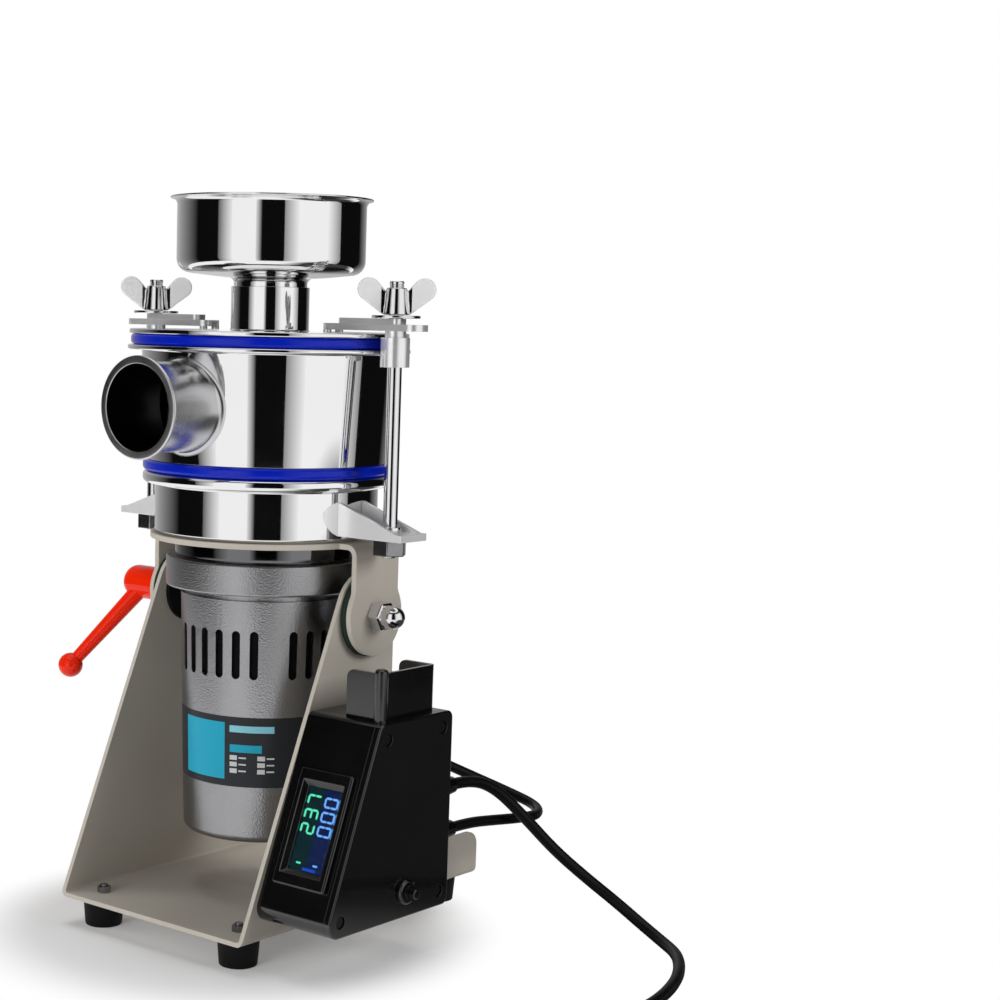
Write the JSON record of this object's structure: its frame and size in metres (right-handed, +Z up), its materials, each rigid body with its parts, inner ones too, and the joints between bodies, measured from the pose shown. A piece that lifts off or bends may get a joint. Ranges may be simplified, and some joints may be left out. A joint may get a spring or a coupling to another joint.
{
  "type": "electric powder grinder",
  "caption": "Bench-top electric powder grinder: steel chamber with hopper and side spout on a vertical motor, tilting in a bent-sheet stand with a control box and meter.",
  "frame": {"origin": "on the floor, under the axis of chamber and motor", "axes": "+Z up along the rotor axis, -Y to the front where the spout points, +X to the control box"},
  "size_m": [0.561, 0.2841, 0.472],
  "materials": {
    "powder_coat": "fine matt powder coat",
    "polished_steel": "mirror-polished stainless steel",
    "bright_hardware": "bright plated",
    "turned_steel": "turned",
    "core_steel": "laminated core",
    "copper": "enamelled copper wire",
    "hammertone": "dark grey hammertone paint",
    "cast_ring": "machined",
    "blue_silicone": "glossy silicone",
    "black_rubber": "matt",
    "friction_fibre": "pressed friction fibre",
    "black_plastic": "semi-gloss moulding",
    "carbon": "carbon and phenolic",
    "red_plastic": "glossy moulding",
    "smoked_window": "smoked clear plastic",
    "lit_display": "lit segments",
    "cord_pvc": "smooth PVC"
  },
  "bodies": {
    "stand": {"base_frame": "powder_coat", "foot_bolts": "bright_hardware", "foot_nuts": "bright_hardware", "pivot_bolts": "bright_hardware", "pivot_nut": "bright_hardware", "box_cover_screws": "bright_hardware", "box_mount_screws": "bright_hardware", "breaker_nut": "bright_hardware", "rubber_feet": "black_rubber", "pivot_inner_washers": "black_rubber", "friction_pads": "friction_fibre", "friction_discs": "friction_fibre", "box_shell": "black_plastic", "box_cover": "black_plastic", "switch_turret": "black_plastic", "switch_body": "black_plastic", "breaker_body": "black_plastic", "meter_case": "black_plastic", "cord_glands": "black_plastic", "meter_window": "smoked_window", "meter_board": "lit_display", "mains_cord": "cord_pvc", "mains_coil": "cord_pvc", "mains_plug": "cord_pvc", "motor_lead": "cord_pvc"},
    "tilt_head": {"yoke": "powder_coat", "motor_mount_ring": "cast_ring", "motor_end_bell": "hammertone", "motor_can": "hammertone", "motor_screws": "bright_hardware", "stator_core": "core_steel", "stator_windings": "copper", "brush_holders": "carbon", "motor_bearings": "turned_steel", "shaft_seal": "black_rubber", "lower_bowl": "polished_steel", "ear_brackets": "bright_hardware", "clamp_rods": "bright_hardware", "rod_nuts": "bright_hardware", "chamber_seals": "blue_silicone", "chamber": "polished_steel", "sieve_ring": "turned_steel", "lid": "polished_steel", "clamp_washers": "bright_hardware", "lead_grommet": "black_rubber"},
    "rotor": {"rotor_shaft": "turned_steel", "armature": "core_steel", "commutator": "copper", "cooling_fan": "black_plastic", "blade_hub": "turned_steel", "blades": "turned_steel", "rotor_nut": "turned_steel"},
    "hopper": {"hopper": "polished_steel"},
    "clamp_arm_left": {"clamp_arm_left": "bright_hardware"},
    "clamp_arm_right": {"clamp_arm_right": "bright_hardware"},
    "wing_nut_left": {"wing_nut_left": "bright_hardware"},
    "wing_nut_right": {"wing_nut_right": "bright_hardware"},
    "lock_lever": {"lock_lever": "red_plastic"},
    "reset_button": {"reset_button": "black_plastic"},
    "switch_rocker": {"switch_rocker": "black_plastic"}
  },
  "joints": [
    {"name": "head_tilt", "type": "hinge", "parent": "stand", "child": "tilt_head", "pos_m": [0, 0.008, 0.212], "axis": [1, 0, 0], "range_deg": [-90, 90], "deforming": ["motor_lead"]},
    {"name": "rotor_spin", "type": "hinge", "parent": "tilt_head", "child": "rotor", "pos_m": [0, 0, 0.212], "axis": [0, 0, 1], "continuous": true},
    {"name": "hopper_lift", "type": "slide", "parent": "tilt_head", "child": "hopper", "axis": [0, 0, 1], "range_m": [0, 0.032]},
    {"name": "lock_lever_turn", "type": "hinge", "parent": "stand", "child": "lock_lever", "pos_m": [-0.0877, 0.008, 0.212], "axis": [1, 0, 0], "range_deg": [0, 75]},
    {"name": "clamp_left_swing", "type": "hinge", "parent": "tilt_head", "child": "clamp_arm_left", "pos_m": [-0.1026, 0, 0.392], "axis": [0, 0, 1], "range_deg": [0, 120]},
    {"name": "clamp_right_swing", "type": "hinge", "parent": "tilt_head", "child": "clamp_arm_right", "pos_m": [0.1026, 0, 0.392], "axis": [0, 0, -1], "range_deg": [0, 120]},
    {"name": "wing_nut_left_turn", "type": "hinge", "parent": "tilt_head", "child": "wing_nut_left", "pos_m": [-0.1026, 0, 0.408], "axis": [0, 0, 1], "continuous": true},
    {"name": "wing_nut_right_turn", "type": "hinge", "parent": "tilt_head", "child": "wing_nut_right", "pos_m": [0.1026, 0, 0.408], "axis": [0, 0, 1], "continuous": true},
    {"name": "reset_press", "type": "slide", "parent": "stand", "child": "reset_button", "axis": [-1, 0, 0], "range_m": [0, 0.003], "stiffness_N_per_m": 400},
    {"name": "rocker_throw", "type": "hinge", "parent": "stand", "child": "switch_rocker", "pos_m": [0.1165, -0.0118, 0.1575], "axis": [1, 0, 0], "range_deg": [0, 14]}
  ]
}
